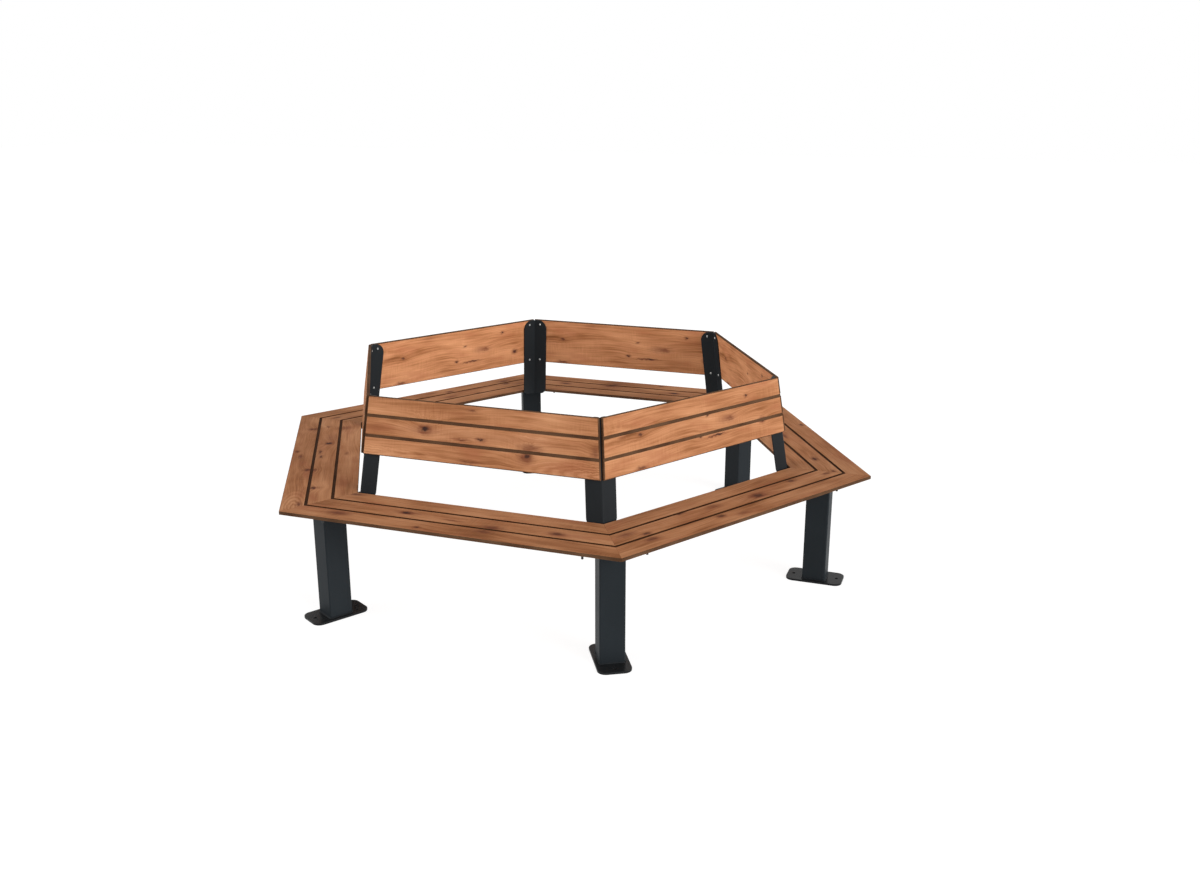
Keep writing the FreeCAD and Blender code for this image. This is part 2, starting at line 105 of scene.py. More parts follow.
class Graph:
    """A node tree with short calls for the nodes that the finishes are made of."""

    def __init__(self, tree: bpy.types.NodeTree) -> None:
        """Wraps a node tree."""
        self.tree = tree

    def feed(self, socket: Socket, value: Feed) -> None:
        """Links a socket, or sets its value.

        Args:
            socket: the input to fill.
            value: another node's output, or a plain value.
        """
        if isinstance(value, Socket):
            self.tree.links.new(value, socket)
        else:
            socket.default_value = value

    def add(self, kind: str, *values: Optional[Feed], **settings: object) -> bpy.types.Node:
        """Adds a node.

        Args:
            kind: the node's type name.
            *values: what its inputs get, in order, None to leave one alone.
            **settings: properties of the node.

        Returns:
            The new node.
        """
        node = self.tree.nodes.new(kind)
        for name, setting in settings.items():
            setattr(node, name, setting)
        for socket, value in zip(node.inputs, values):
            if value is not None:
                self.feed(socket, value)
        return node

    def math(self, operation: str, *values: Feed) -> Socket:
        """Result of a Math node on one or more values."""
        return self.add("ShaderNodeMath", *values, operation=operation).outputs[0]

    def vector(self, operation: str, *values: Feed) -> Socket:
        """Result of a Vector Math node on one or more vectors."""
        return self.add("ShaderNodeVectorMath", *values, operation=operation).outputs["Vector"]

    def length(self, value: Feed) -> Socket:
        """Length of a vector."""
        return self.add("ShaderNodeVectorMath", value, operation="LENGTH").outputs["Value"]

    def noise(self, point: Feed, noise: Noise, coloured: bool = False) -> Socket:
        """Looks up a noise.

        Args:
            point: the point to look up.
            noise: the noise.
            coloured: whether three noises are given as a colour.

        Returns:
            The noise, from 0 to 1 about its middle.
        """
        scaled = self.vector("MULTIPLY", point, noise.features)
        node = self.add("ShaderNodeTexNoise", scaled, None, 1.0, noise.layers, noise.roughness)
        return node.outputs["Color"] if coloured else node.outputs[0]

    def vary(self, tone: Feed, noise: Feed, strength: Feed) -> Socket:
        """A tone moved up and down by a noise about its middle."""
        return self.math("MULTIPLY_ADD", self.math("SUBTRACT", noise, NOISE_MIDDLE), strength, tone)

    def remap(self, value: Feed, span: Span) -> Socket:
        """Maps a value from one range to another, held at its ends.

        Args:
            value: the value to map.
            span: both ranges.

        Returns:
            The mapped value.
        """
        kind = "SMOOTHSTEP" if span.smooth else "LINEAR"
        ends = (*span.source, *span.target)
        return self.add("ShaderNodeMapRange", value, *ends, interpolation_type=kind, clamp=True).outputs[0]

    def blend(self, factor: Feed, first: Feed, second: Feed, mode: str = "MIX") -> Socket:
        """Blends two colours.

        Args:
            factor: share of the second colour.
            first: the first colour.
            second: the second colour.
            mode: the blend mode.

        Returns:
            The blended colour.
        """
        node = self.add("ShaderNodeMix", data_type="RGBA", blend_type=mode)
        self.feed(node.inputs[MIX_FACTOR], factor)
        self.feed(node.inputs[MIX_FIRST], opaque(first))
        self.feed(node.inputs[MIX_SECOND], opaque(second))
        return node.outputs[MIX_RESULT]

    def ramp(self, value: Feed, places: Sequence[float], colours: Sequence[Colour]) -> Socket:
        """Colour ramp.

        Args:
            value: the place on the ramp.
            places: the places of its stops, in rising order.
            colours: their colours.

        Returns:
            The colour at that place.
        """
        node = self.add("ShaderNodeValToRGB", value)
        elements = node.color_ramp.elements
        while len(elements) < len(places):
            elements.new(1.0)
        for element, place, colour in zip(elements, places, colours):
            element.position = place
            element.color = opaque(colour)
        return node.outputs[0]

    def bump(self, height: Feed, relief: Relief) -> Socket:
        """Bumped normal.

        Args:
            height: the height field.
            relief: how much it bumps.

        Returns:
            The new normal.
        """
        node = self.add("ShaderNodeBump")
        for name, value in (("Strength", relief.strength), ("Distance", relief.step), ("Height", height)):
            self.feed(node.inputs[name], value)
        return node.outputs[0]


class Surface(Graph):
    """A new material and the graph behind its surface shader."""

    def __init__(self, name: str) -> None:
        """Starts the material.

        Args:
            name: its name.
        """
        self.material = bpy.data.materials.new(name)
        self.material.use_nodes = True
        super().__init__(self.material.node_tree)

    def place(self) -> Socket:
        """The point on the piece, in its own metres."""
        return self.add("ShaderNodeTexCoord").outputs["Object"]

    def worn(self, noise: Feed, roughness: float, wear: Range) -> Socket:
        """A roughness that a noise lowers and raises by the two amounts of wear."""
        return self.remap(noise, Span(WEAR_RANGE, (roughness - wear[0], roughness + wear[1])))

    def finish(self, inputs: dict[str, Feed]) -> bpy.types.Material:
        """Fills the surface shader.

        Args:
            inputs: what its inputs get, by their names.

        Returns:
            The material.
        """
        for name, value in inputs.items():
            self.feed(self.tree.nodes["Principled BSDF"].inputs[name], value)
        return self.material


def opaque(colour: Feed) -> Feed:
    """A three-part colour with full alpha added, and anything else as it is."""
    bare = isinstance(colour, tuple) and len(colour) == 3
    return (*colour, 1.0) if bare else colour


# Wood decor

@dataclass(frozen=True)
class Knot:
    """A knot, streak or stain of the decor, placed from the sheet's middle and lower edge.

    length and width are the half sizes of its halo, core and halo how strong each is. The figure is
    pushed aside in proportion to the width.
    """

    along: float
    across: float
    length: float
    width: float
    core: float
    halo: float


@dataclass(frozen=True)
class Arch:
    """Nested arches in the grain. length and width are half sizes, rings how many arches nest."""

    along: float
    across: float
    length: float
    width: float
    rings: float
    strength: float


@dataclass(frozen=True)
class Cut:
    """A cut of the decor: its shift in the print, its lightness (painted light on the backrest's inner
    cuts) and what is drawn on it.

    stretch is how much longer the print is along the board, slide how far it is then moved.
    """

    shift: Range
    lightness: float = 1.0
    knots: tuple[Knot, ...] = ()
    arches: tuple[Arch, ...] = ()
    stretch: float = 1.0
    slide: float = 0.0


# Knots and arches of the print that shows on the backrest's inner faces and on some outer ones
CLOUD_ARCHES = (Arch(-0.50, 0.150, 0.46, 0.075, 4.0, 0.10), Arch(0.10, -0.02, 0.36, 0.050, 4.0, 0.10))
CLOUD_KNOTS = (
    Knot(0.260, 0.176, 0.018, 0.013, 0.9, 0.7),
    Knot(0.152, 0.108, 0.070, 0.024, 0.0, 0.8),
    Knot(0.165, 0.106, 0.030, 0.010, 0.15, 0.6),
    Knot(0.050, 0.136, 0.018, 0.010, 0.7, 0.6),
    Knot(-0.282, 0.127, 0.020, 0.014, 0.7, 0.6),
    Knot(-0.270, 0.142, 0.080, 0.022, 0.0, 0.0),
    Knot(0.006, 0.066, 0.018, 0.014, 0.9, 0.8),
    Knot(0.101, 0.057, 0.066, 0.009, 1.0, 0.9),
    Knot(0.060, 0.054, 0.050, 0.006, 0.5, 0.6),
    Knot(0.338, 0.070, 0.028, 0.020, 0.9, 0.9),
    Knot(-0.289, 0.009, 0.045, 0.013, 0.5, 0.8),
    Knot(-0.155, 0.200, 0.050, 0.010, 0.0, 0.5),
    Knot(-0.364, 0.131, 0.030, 0.012, 0.0, 0.4),
)


class Sheet(Enum):
    """The cuts of the wood decor that the boards show."""

    PLAIN = Cut((3.0, 0.0))
    BACK_CLOUD = Cut((0.0, 0.0), 1.0, CLOUD_KNOTS, CLOUD_ARCHES)
    # The two inner cuts below are the cloud print lightened 1.19 times: painted light on the backrest's
    # inner faces, which stand in the shade inside the ring.
    BACK_INNER_PAINTED_LIGHT = Cut((0.0, 0.0), 1.19, CLOUD_KNOTS, CLOUD_ARCHES)
    BACK_INNER_WIDE_PAINTED_LIGHT = Cut((0.0, 0.0), 1.19, CLOUD_KNOTS, CLOUD_ARCHES, stretch=1.145, slide=0.020)
    BACK_STREAK = Cut(
        (1.3, 0.4),
        1.0,
        (
            Knot(-0.211, 0.115, 0.036, 0.026, 1.0, 0.9),
            Knot(-0.215, 0.114, 0.070, 0.030, 0.0, 0.5),
            Knot(0.009, 0.097, 0.034, 0.009, 0.9, 0.8),
            Knot(-0.066, 0.090, 0.055, 0.008, 0.2, 0.8),
            Knot(0.188, 0.057, 0.026, 0.024, 0.9, 0.9),
            Knot(0.182, 0.050, 0.048, 0.036, 0.0, 0.8),
            Knot(0.200, 0.087, 0.066, 0.020, 0.1, 0.9),
            Knot(-0.026, 0.196, 0.036, 0.008, 0.3, 0.8),
            Knot(0.438, 0.092, 0.026, 0.030, 0.15, 0.7),
            Knot(-0.036, 0.012, 0.075, 0.010, 0.2, 0.7),
            Knot(-0.136, 0.078, 0.045, 0.014, 0.0, 0.4),
            Knot(-0.050, 0.108, 0.600, 0.032, 0.0, 0.26),
        ),
        (Arch(0.46, 0.012, 0.36, 0.060, 7.0, 0.20), Arch(-0.44, 0.015, 0.40, 0.040, 5.0, 0.10)),
    )
    SEAT_LEFT = Cut(
        (2.1, 1.1),
        0.95,
        (
            Knot(-0.173, 0.130, 0.032, 0.032, 0.9, 0.9),
            Knot(-0.056, 0.160, 0.050, 0.013, 0.6, 0.8),
            Knot(0.011, 0.153, 0.032, 0.013, 0.7, 0.8),
            Knot(-0.403, 0.205, 0.030, 0.036, 0.3, 1.0),
            Knot(-0.078, 0.251, 0.028, 0.018, 0.3, 0.9),
            Knot(-0.010, 0.237, 0.045, 0.016, 0.2, 0.8),
            Knot(0.176, 0.197, 0.026, 0.030, 0.5, 0.9),
            Knot(0.181, 0.172, 0.024, 0.020, 0.2, 0.8),
            Knot(0.399, 0.165, 0.030, 0.018, 0.7, 0.8),
            Knot(0.400, 0.150, 0.022, 0.030, 0.0, 0.5),
            Knot(0.573, 0.206, 0.036, 0.016, 0.3, 0.9),
            Knot(0.470, 0.225, 0.170, 0.050, 0.0, 0.0),
            Knot(-0.015, 0.054, 0.030, 0.014, 0.1, 0.6),
            Knot(-0.400, 0.074, 0.040, 0.045, 0.0, 0.7),
            Knot(-0.430, 0.142, 0.026, 0.014, 0.1, 0.7),
            Knot(-0.250, 0.120, 0.100, 0.040, 0.0, 0.5),
        ),
        (Arch(0.60, 0.225, 0.23, 0.066, 6.0, 0.20),),
    )
    SEAT_FRONT = Cut(
        (3.4, 1.9),
        0.95,
        (
            Knot(-0.207, 0.129, 0.036, 0.022, 1.0, 1.0),
            Knot(-0.195, 0.129, 0.080, 0.020, 0.0, 0.7),
            Knot(-0.107, 0.244, 0.022, 0.018, 0.7, 0.9),
            Knot(-0.430, 0.212, 0.065, 0.030, 0.1, 1.0),
            Knot(0.137, 0.163, 0.060, 0.030, 0.2, 1.0),
            Knot(0.120, 0.203, 0.055, 0.026, 0.2, 0.9),
            Knot(-0.022, 0.145, 0.055, 0.010, 0.0, 0.8),
            Knot(0.366, 0.142, 0.050, 0.026, 0.5, 1.0),
            Knot(-0.476, 0.018, 0.060, 0.024, 0.3, 0.9),
            Knot(0.290, 0.060, 0.130, 0.030, 0.0, 0.0),
        ),
    )
    SEAT_RIGHT = Cut(
        (4.9, 2.7),
        0.95,
        (
            Knot(0.139, 0.141, 0.050, 0.032, 0.7, 1.0),
            Knot(0.130, 0.141, 0.100, 0.040, 0.0, 0.5),
            Knot(0.358, 0.111, 0.036, 0.020, 0.5, 0.9),
            Knot(0.530, 0.138, 0.045, 0.016, 0.4, 0.9),
            Knot(-0.211, 0.094, 0.042, 0.016, 0.7, 0.9),
            Knot(-0.071, 0.119, 0.055, 0.024, 0.0, 0.9),
            Knot(-0.120, 0.205, 0.034, 0.022, 0.6, 0.9),
            Knot(-0.036, 0.235, 0.050, 0.018, 0.0, 0.8),
            Knot(-0.430, 0.160, 0.036, 0.020, 0.6, 0.9),
            Knot(-0.448, 0.209, 0.050, 0.026, 0.3, 0.9),
            Knot(-0.490, 0.126, 0.060, 0.024, 0.0, 0.9),
        ),
    )
    SEAT_FAR = Cut(
        (6.2, 3.3),
        0.93,
        (
            Knot(0.090, 0.250, 0.030, 0.018, 0.7, 0.9),
            Knot(-0.392, 0.133, 0.042, 0.024, 0.8, 1.0),
            Knot(-0.560, 0.150, 0.040, 0.016, 0.4, 0.9),
            Knot(0.310, 0.060, 0.034, 0.018, 0.6, 0.8),
            Knot(-0.060, 0.120, 0.060, 0.016, 0.3, 0.8),
            Knot(0.180, 0.180, 0.140, 0.036, 0.0, 0.0),
        ),
    )


@dataclass(frozen=True)
class WoodDecor:
    """The printed oak surface of the boards: soft figure that bends round knots, fine grain and marks."""

    tone_places: tuple[float, ...] = (0.00, 0.28, 0.52, 0.78, 1.00)
    tones: tuple[Colour, ...] = (
        (0.225, 0.086, 0.034),
        (0.365, 0.147, 0.062),
        (0.510, 0.224, 0.103),
        (0.620, 0.292, 0.143),
        (0.710, 0.362, 0.190),
    )
    red: Colour = (0.405, 0.140, 0.066)
    halo: Colour = (0.190, 0.060, 0.032)
    core: Colour = (0.036, 0.021, 0.020)
    roughness: float = 0.62
    wear: Range = (0.05, 0.06)
    specular: float = 0.025
    relief: Relief = Relief(0.25, 0.0004)

    # How far a knot's parts and an arch reach, in their half sizes
    halo_reach: Span = Span((0.05, 1.1), (1.0, 0.0), smooth=True)
    core_reach: Span = Span((0.18, 0.52), (1.0, 0.0), smooth=True)
    pull_reach: Span = Span((0.0, 2.6), (1.0, 0.0), smooth=True)
    arch_reach: Range = (0.3, 1.0)

    # Noises along the board and across it
    ragged: Noise = Noise((70.0, 70.0, 70.0), 4.0)
    sway: Noise = Noise((1.7, 5.0, 1.0), 1.0)
    figure: Noise = Noise((1.9, 46.0, 1.0), 3.0, 0.6)
    lines: Noise = Noise((4.0, 135.0, 1.0), 4.0, 0.62)
    hairs: Noise = Noise((11.0, 760.0, 1.0))
    pores: Noise = Noise((45.0, 1500.0, 1.0))
    chatter: Noise = Noise((170.0, 15.0, 1.0), 3.0)
    patches: Noise = Noise((5.0, 9.0, 1.0), 1.0)
    clouds: Noise = Noise((3.6, 11.0, 1.0))
    blush: Noise = Noise((4.4, 15.0, 3.0), 3.0)

    # What the noises do to places and to the tone
    raggedness: tuple[float, float, float] = (0.022, 0.014, 0.0)
    sway_height: float = 0.08
    pull_share: float = 0.5
    middle_tone: float = 0.53
    figure_strength: float = 0.54
    cloud_strength: float = 1.35
    hair_strength: float = 0.62
    line_strength: Span = Span((0.35, 0.65), (1.2, 0.5))
    chatter_strength: Span = Span((0.46, 0.64), (0.0, 0.4))
    blush_strength: Span = Span((0.50, 0.72), (0.0, 0.6), smooth=True)
    pore_strength: Span = Span((0.62, 0.74), (0.0, 0.35))
    halo_strength: Span = Span((0.36, 0.64), (1.05, 0.55))
    core_strength: float = 0.92

    def knot_group(self) -> bpy.types.NodeTree:
        """The node group that turns a point into one knot's halo, core and pull on the figure.

        Returns:
            The group's tree, made on the first call.
        """
        name = "wood_knot"
        if name in bpy.data.node_groups:
            return bpy.data.node_groups[name]
        tree = bpy.data.node_groups.new(name, "ShaderNodeTree")
        for title in ("Point", "Centre", "Reach"):
            tree.interface.new_socket(title, in_out="INPUT", socket_type="NodeSocketVector")
        for title in ("Halo", "Core", "Pull"):
            tree.interface.new_socket(title, in_out="OUTPUT", socket_type="NodeSocketFloat")
        graph = Graph(tree)
        entry = graph.add("NodeGroupInput")
        leaving = graph.add("NodeGroupOutput")
        offset = graph.vector("SUBTRACT", entry.outputs["Point"], entry.outputs["Centre"])
        away = graph.length(graph.vector("DIVIDE", offset, entry.outputs["Reach"]))
        for socket, reach in zip(leaving.inputs, (self.halo_reach, self.core_reach, self.pull_reach)):
            graph.feed(socket, graph.remap(away, reach))
        return tree

    def knots(self, graph: Graph, point: Socket, knots: Iterable[Knot]) -> tuple[Feed, Feed, Feed]:
        """Adds a sheet's knots.

        Args:
            graph: the material's graph.
            point: the place on the sheet.
            knots: the knots to add.

        Returns:
            Halo, core and pull on the figure in metres, each over all knots.
        """
        halo, core, pull = 0.0, 0.0, 0.0
        for knot in knots:
            node = graph.add("ShaderNodeGroup", node_tree=self.knot_group())
            sizes = (point, (knot.along, knot.across, 0.0), (knot.length, knot.width, 1.0))
            for socket, value in zip(node.inputs, sizes):
                graph.feed(socket, value)
            halo = graph.math("MULTIPLY_ADD", node.outputs["Halo"], knot.halo, halo)
            core = graph.math("MULTIPLY_ADD", node.outputs["Core"], knot.core, core)
            pull = graph.math("MULTIPLY_ADD", node.outputs["Pull"], knot.width, pull)
        return halo, core, pull

    def arches(self, graph: Graph, point: Socket, arches: Iterable[Arch], tone: Socket) -> Socket:
        """Draws a sheet's nested arches into the tone.

        Args:
            graph: the material's graph.
            point: the place on the sheet.
            arches: the arches to draw.
            tone: the tone so far.

        Returns:
            The tone with the arches in it.
        """
        for arch in arches:
            offset = graph.vector("SUBTRACT", point, (arch.along, arch.across, 0.0))
            away = graph.length(graph.vector("DIVIDE", offset, (arch.length, arch.width, 1.0)))
            wave = graph.math("SINE", graph.math("MULTIPLY", away, 2 * math.pi * arch.rings))
            fade = graph.remap(away, Span(self.arch_reach, (arch.strength, 0.0), smooth=True))
            tone = graph.math("MULTIPLY_ADD", wave, fade, tone)
        return tone

    def material(self, sheet: Sheet) -> bpy.types.Material:
        """The decor as a material.

        Args:
            sheet: the cut of the print.

        Returns:
            The new material.
        """
        graph = Surface("wood_" + sheet.name.lower())
        cut = sheet.value
        place = graph.add("ShaderNodeUVMap", uv_map=SHEET_MAP).outputs[0]
        if cut.stretch != 1.0:
            back = (-cut.slide / cut.stretch, 0.0, 0.0)
            place = graph.vector("MULTIPLY_ADD", place, (1.0 / cut.stretch, 1.0, 1.0), back)
        printed = graph.vector("ADD", place, (*cut.shift, 0.0))
        ragged = graph.noise(printed, self.ragged, coloured=True)
        wobble = graph.vector("SUBTRACT", ragged, (NOISE_MIDDLE,) * 3)
        wobbled = graph.vector("MULTIPLY_ADD", wobble, self.raggedness, place)
        halo, core, pull = self.knots(graph, wobbled, cut.knots)

        # The figure is noise in a frame that sways slowly and is pushed aside by the knots
        sway = graph.math("MULTIPLY", graph.noise(printed, self.sway), self.sway_height)
        lift = graph.math("MULTIPLY_ADD", pull, self.pull_share, sway)
        bent = graph.vector("ADD", printed, graph.add("ShaderNodeCombineXYZ", 0.0, lift, 0.0).outputs[0])
        lines = graph.noise(bent, self.lines)
        patches = graph.noise(printed, self.patches)
        tone = graph.vary(self.middle_tone, graph.noise(bent, self.figure), self.figure_strength)
        tone = graph.vary(tone, graph.noise(printed, self.clouds), self.cloud_strength)
        tone = graph.vary(tone, lines, graph.remap(patches, self.line_strength))
        tone = graph.vary(tone, graph.noise(bent, self.hairs), self.hair_strength)
        tone = self.arches(graph, wobbled, cut.arches, tone)
        chatter = graph.noise(printed, self.chatter)
        tone = graph.vary(tone, chatter, graph.remap(patches, self.chatter_strength))
        colour = graph.ramp(tone, self.tone_places, self.tones)

        blush = graph.remap(graph.noise(printed, self.blush), self.blush_strength)
        pores = graph.remap(graph.noise(bent, self.pores), self.pore_strength)
        streaks = graph.remap(lines, self.halo_strength)
        halo = graph.math("MULTIPLY", graph.math("MINIMUM", halo, 1.0), streaks)
        core = graph.math("MULTIPLY", graph.math("MINIMUM", core, 1.0), self.core_strength)
        for share, shade in ((blush, self.red), (pores, self.halo), (halo, self.halo), (core, self.core)):
            colour = graph.blend(share, colour, shade)
        # The cut's lightness scales the colour; on the backrest's inner cuts it is painted light.
        if cut.lightness != 1.0:
            colour = graph.blend(1.0, colour, (cut.lightness,) * 3, "MULTIPLY")
        return graph.finish(
            {
                "Base Color": colour,
                "Roughness": graph.worn(lines, self.roughness, self.wear),
                "Specular IOR Level": self.specular,
                "Normal": graph.bump(graph.math("SUBTRACT", lines, pores), self.relief),
            }
        )


@dataclass(frozen=True)
class BoardCore:
    """The brown core of the boards, as it shows where they are cut."""

    name: str
    dark: Colour
    light: Colour
    roughness: float = 0.7
    wear: Range = (0.06, 0.08)
    specular: float = 0.03
    relief: Relief = Relief(0.2, 0.0002)
    speckle: Noise = Noise((700.0, 700.0, 700.0), 3.0)
    speckle_strength: float = 0.7
    layers: Noise = Noise((3.0, 3.0, 2600.0), 1.0)
    layer_strength: float = 0.6
    drift: Noise = Noise((9.0, 9.0, 9.0))
    tone_places: Range = (0.25, 0.75)

    def material(self) -> bpy.types.Material:
        """The core as a material, with faint layers and cutter marks.

        Returns:
            The new material.
        """
        graph = Surface(self.name)
        place = graph.place()
        speckle = graph.noise(place, self.speckle)
        layers = graph.noise(place, self.layers)
        tone = graph.vary(graph.noise(place, self.drift), layers, self.layer_strength)
        tone = graph.vary(tone, speckle, self.speckle_strength)
        return graph.finish(
            {
                "Base Color": graph.ramp(tone, self.tone_places, (self.dark, self.light)),
                "Roughness": graph.worn(speckle, self.roughness, self.wear),
                "Specular IOR Level": self.specular,
                "Normal": graph.bump(layers, self.relief),
            }
        )


class Core(Enum):
    """The core's colours: on edges and in the backrest's grooves, and a darker copy in the seat's grooves
    that is painted shade.
    """

    EDGE = BoardCore("core_edge", (0.068, 0.031, 0.016), (0.150, 0.080, 0.043))
    # A darker, redder copy of the same core: painted shade in the seat's recessed grooves.
    SEAT_GROOVE_PAINTED_SHADE = BoardCore("core_seat_groove_painted_shade", (0.038, 0.0150, 0.0062), (0.084, 0.038, 0.0165))


Finishes = dict[Union[Sheet, Core], bpy.types.Material]


# Steel finishes

@dataclass(frozen=True)
class PowderCoat:
    """Fine textured powder coat on steel. peel_height is the height of its bumps, in metres."""

    name: str
    base: Colour
    roughness: float = 0.46
    specular: float = 0.08
    peel_height: float = 0.00012
    wear: Range = (0.05, 0.05)
    peel: Noise = Noise((625.0, 625.0, 625.0))
    peel_strength: float = 0.5
    grit: Noise = Noise((2500.0, 2500.0, 2500.0), 1.0)
    grit_share: float = 0.35
    relief_strength: float = 0.35
    drift: Noise = Noise((6.0, 6.0, 4.0), 3.0)
    shades: Range = (0.84, 1.16)
    tone_places: Range = (0.2, 0.8)

    def material(self) -> bpy.types.Material:
        """The coat as a material.

        Returns:
            The new material.
        """
        graph = Surface(self.name)
        place = graph.place()
        peel = graph.noise(place, self.peel)
        drift = graph.noise(place, self.drift)
        tone = graph.vary(drift, peel, self.peel_strength)
        colours = [tuple(shade * part for part in self.base) for shade in self.shades]
        height = graph.math("MULTIPLY_ADD", graph.noise(place, self.grit), self.grit_share, peel)
        return graph.finish(
            {
                "Base Color": graph.ramp(tone, self.tone_places, colours),
                "Roughness": graph.worn(drift, self.roughness, self.wear),
                "Specular IOR Level": self.specular,
                "Normal": graph.bump(height, Relief(self.relief_strength, self.peel_height)),
            }
        )


@dataclass(frozen=True)
class BareSteel:
    """Steel of screws, studs and nuts: plated on the screws, and painted near black on the studs and nuts
    as painted shade from the seat above.
    """

    name: str
    base: Colour
    roughness: float
    metallic: float = 1.0
    wear: Range = (0.06, 0.08)
    relief: Relief = Relief(0.15, 0.00005)
    marks: Noise = Noise((900.0, 900.0, 3200.0))
    drift: Noise = Noise((160.0, 160.0, 160.0))
    darkest: float = 0.8
    tone_places: Range = (0.3, 0.7)

    def material(self) -> bpy.types.Material:
        """The steel as a material, with fine turning marks.

        Returns:
            The new material.
        """
        graph = Surface(self.name)
        place = graph.place()
        marks = graph.noise(place, self.marks)
        darker = tuple(self.darkest * part for part in self.base)
        tone = graph.noise(place, self.drift)
        return graph.finish(
            {
                "Base Color": graph.ramp(tone, self.tone_places, (darker, self.base)),
                "Roughness": graph.worn(marks, self.roughness, self.wear),
                "Metallic": self.metallic,
                "Normal": graph.bump(marks, self.relief),
            }
        )


def settle(shell: bmesh.types.BMesh, name: str) -> bpy.types.Object:
    """Turns a finished mesh under construction into a piece of the scene.

    Args:
        shell: the mesh, freed afterwards.
        name: the piece's name.

    Returns:
        The new piece.
    """
    mesh = bpy.data.meshes.new(name)
    shell.to_mesh(mesh)
    shell.free()
    piece = bpy.data.objects.new(name, mesh)
    bpy.context.scene.collection.objects.link(piece)
    LOG.info("%s: %d faces", name, len(mesh.polygons))
    return piece


# Boards

class Face(Enum):
    """What a strip of a board shows."""

    FRONT = 0
    BACK = 1
    EDGE = 2
    GROOVE = 3


@dataclass(frozen=True)
class Station:
    """A corner of a board's cross-section and the face that starts there.

    out is measured through the board from its back, up is measured across the board.
    """

    out: float
    up: float
    face: Face


@dataclass(frozen=True)
class BoardSection:
    """Cross-section of a grooved board with eased edges.

    edge_boards are the flat widths below the lower groove and above the upper one.
    """

    width: float
    thickness: float
    edge_boards: Range
    groove_width: float = 0.012
    groove_depth: float = 0.0025
    ease: float = 0.001
    ease_steps: int = 4
    back_eased: bool = True
    ends_eased: bool = True

    def rounding(self, centre: Range, start: float) -> list[Station]:
        """Stations of a quarter round.

        Args:
            centre: its centre, as (out, up).
            start: the angle it starts at, in radians from out towards up.

        Returns:
            The stations, first and last on the flat faces.
        """
        stations = []
        for step in range(self.ease_steps + 1):
            angle = start + QUARTER_TURN * step / self.ease_steps
            out = centre[0] + self.ease * math.cos(angle)
            up = centre[1] + self.ease * math.sin(angle)
            stations.append(Station(out, up, Face.EDGE))
        return stations

    def stations(self) -> list[Station]:
        """The closed cross-section, anticlockwise from the lower end of the front face.

        Returns:
            The stations in order.
        """
        top, low = self.thickness, self.ease
        high = self.width - self.ease
        groove_starts = (self.edge_boards[0], self.width - self.edge_boards[1] - self.groove_width)
        found = self.rounding((top - self.ease, low), -QUARTER_TURN)
        found[-1] = Station(top, low, Face.FRONT)
        for start in groove_starts:
            end = start + self.groove_width
            floor = top - self.groove_depth
            found.append(Station(top, start, Face.GROOVE))
            found.append(Station(floor, start, Face.GROOVE))
            found.append(Station(floor, end, Face.GROOVE))
            found.append(Station(top, end, Face.FRONT))
        found += self.rounding((top - self.ease, high), 0.0)
        if self.back_eased:
            back_high = self.rounding((self.ease, high), QUARTER_TURN)
            back_low = self.rounding((self.ease, low), 2 * QUARTER_TURN)
            back_high[-1] = Station(0.0, high, Face.BACK)
            found += back_high + back_low
        else:
            found.append(Station(0.0, self.width, Face.BACK))
            found.append(Station(0.0, 0.0, Face.EDGE))
        return found

    def end_cuts(self) -> list[Range]:
        """Setback from the board's end and depth below its faces, at each step of the end's rounding.

        Returns:
            The steps, from the flat faces to the end itself.
        """
        if not self.ends_eased:
            return [(0.0, 0.0)]
        cuts = []
        for step in range(self.ease_steps + 1):
            angle = QUARTER_TURN * step / self.ease_steps
            cuts.append((self.ease * (1 - math.sin(angle)), self.ease * (1 - math.cos(angle))))
        return cuts


